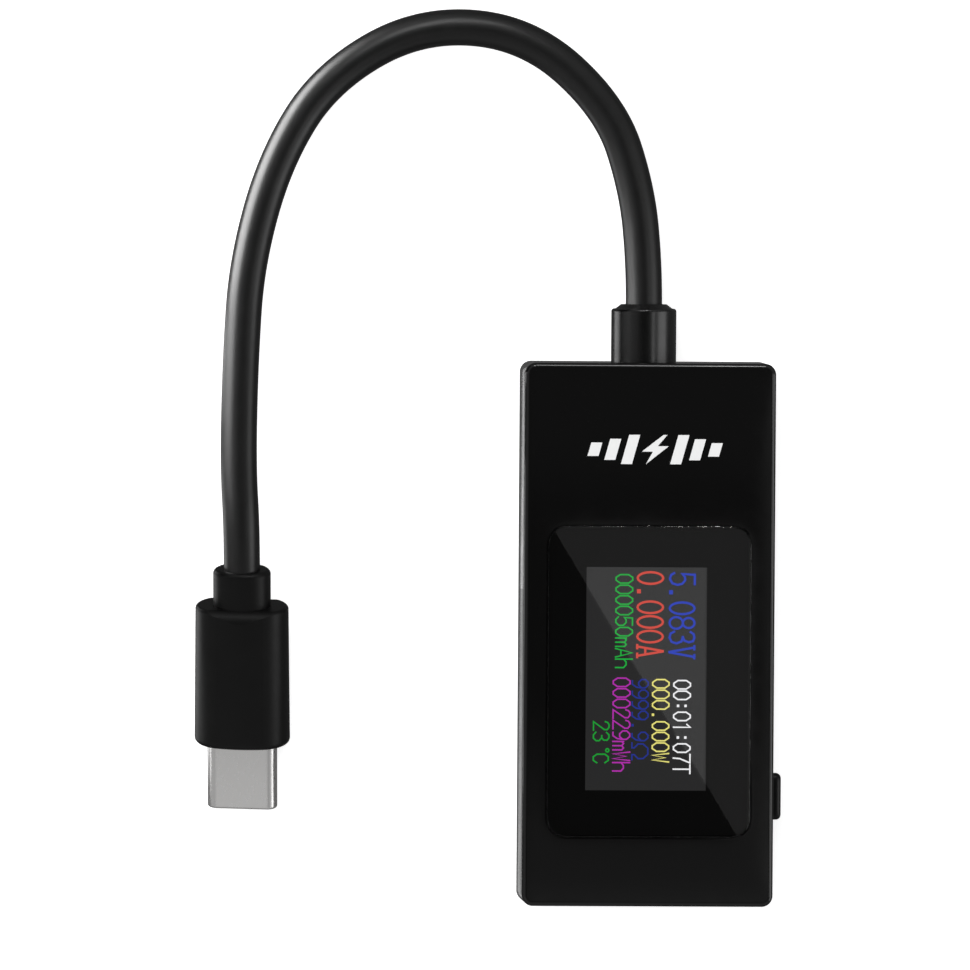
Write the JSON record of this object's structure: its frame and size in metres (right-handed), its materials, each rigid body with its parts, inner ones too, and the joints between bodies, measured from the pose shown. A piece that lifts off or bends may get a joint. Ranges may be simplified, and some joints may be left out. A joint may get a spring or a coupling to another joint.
{
  "type": "usb power meter",
  "caption": "Black inline USB power meter with a colour display behind a smoked window, a side button, a socket and a short USB-C lead.",
  "frame": {"origin": "centre of the housing's back face, on which the meter lies", "axes": "+Z out of the back face towards the screen, +Y along the housing towards the lead, +X towards the side button"},
  "size_m": [0.0693, 0.1056, 0.0132],
  "materials": {
    "housing_gloss": "polished black ABS",
    "smoked_window": "smoked acrylic, polished",
    "adhesive": "black adhesive tape",
    "gasket_foam": "closed-cell foam",
    "lcd_glass": "display glass",
    "backlight": "white moulded light guide",
    "flex_film": "amber polyimide film",
    "circuit_board": "solder-masked fibreglass",
    "chip_plastic": "moulded epoxy",
    "ceramic": "fired ceramic",
    "tinned_metal": "tin plated",
    "socket_steel": "nickel-plated stainless steel",
    "gold_contacts": "gold plated",
    "connector_plastic": "glass-filled nylon",
    "button_plastic": "satin black ABS",
    "switch_plastic": "moulded nylon",
    "strain_relief_rubber": "satin black PVC",
    "cable_rubber": "satin black PVC",
    "plug_rubber": "matte black PVC",
    "inner_mold": "natural polyethylene",
    "plug_nickel": "satin nickel plating",
    "red_wire": "PVC insulation",
    "black_wire": "PVC insulation",
    "green_wire": "PVC insulation",
    "white_wire": "PVC insulation",
    "blue_wire": "PVC insulation"
  },
  "bodies": {
    "housing": {"back_shell": "housing_gloss", "bulk_capacitors": "ceramic", "cable_jacket": "cable_rubber", "cc_wire": "blue_wire", "ceramic_capacitors": "ceramic", "chip_resistors": "chip_plastic", "chip_terminals": "tinned_metal", "controller_chip": "chip_plastic", "controller_leads": "tinned_metal", "data_minus_wire": "white_wire", "data_plus_wire": "green_wire", "display_gasket": "gasket_foam", "display_window": "smoked_window", "front_shell": "housing_gloss", "ground_wire": "black_wire", "lcd_backlight": "backlight", "lcd_bottom_glass": "lcd_glass", "lcd_driver_chip": "chip_plastic", "lcd_flex": "flex_film", "lcd_tape": "adhesive", "lcd_top_glass": "lcd_glass", "main_board": "circuit_board", "memory_chip": "chip_plastic", "memory_leads": "tinned_metal", "output_socket_contacts": "gold_contacts", "output_socket_insulator": "connector_plastic", "output_socket_shell": "socket_steel", "plug_board": "circuit_board", "plug_contacts": "gold_contacts", "plug_inner_mold": "inner_mold", "plug_insulator": "connector_plastic", "plug_latch_springs": "gold_contacts", "plug_overmold": "plug_rubber", "plug_shell": "plug_nickel", "power_wire": "red_wire", "regulator_leads": "tinned_metal", "shunt_resistor": "chip_plastic", "solder_joints": "tinned_metal", "strain_relief": "strain_relief_rubber", "switch_base": "switch_plastic", "switch_cover": "socket_steel", "switch_dome": "socket_steel", "switch_terminals": "tinned_metal", "voltage_regulator": "chip_plastic", "window_adhesive": "adhesive"},
    "button": {"side_button": "button_plastic"},
    "plunger": {"switch_plunger": "switch_plastic"}
  },
  "joints": [
    {"name": "button_press", "type": "slide", "parent": "housing", "child": "button", "axis": [-1, 0, 0], "range_m": [0, 0.0003], "stiffness_N_per_m": 4000, "springref_m": -0.0001, "deforming": ["switch_dome"]},
    {"name": "plunger_press", "type": "slide", "parent": "housing", "child": "plunger", "axis": [-1, 0, 0], "range_m": [0, 0.0003], "deforming": ["switch_dome"]}
  ],
  "couplings": [
    {"joint": "plunger_press", "follows": "button_press", "ratio": 1}
  ]
}
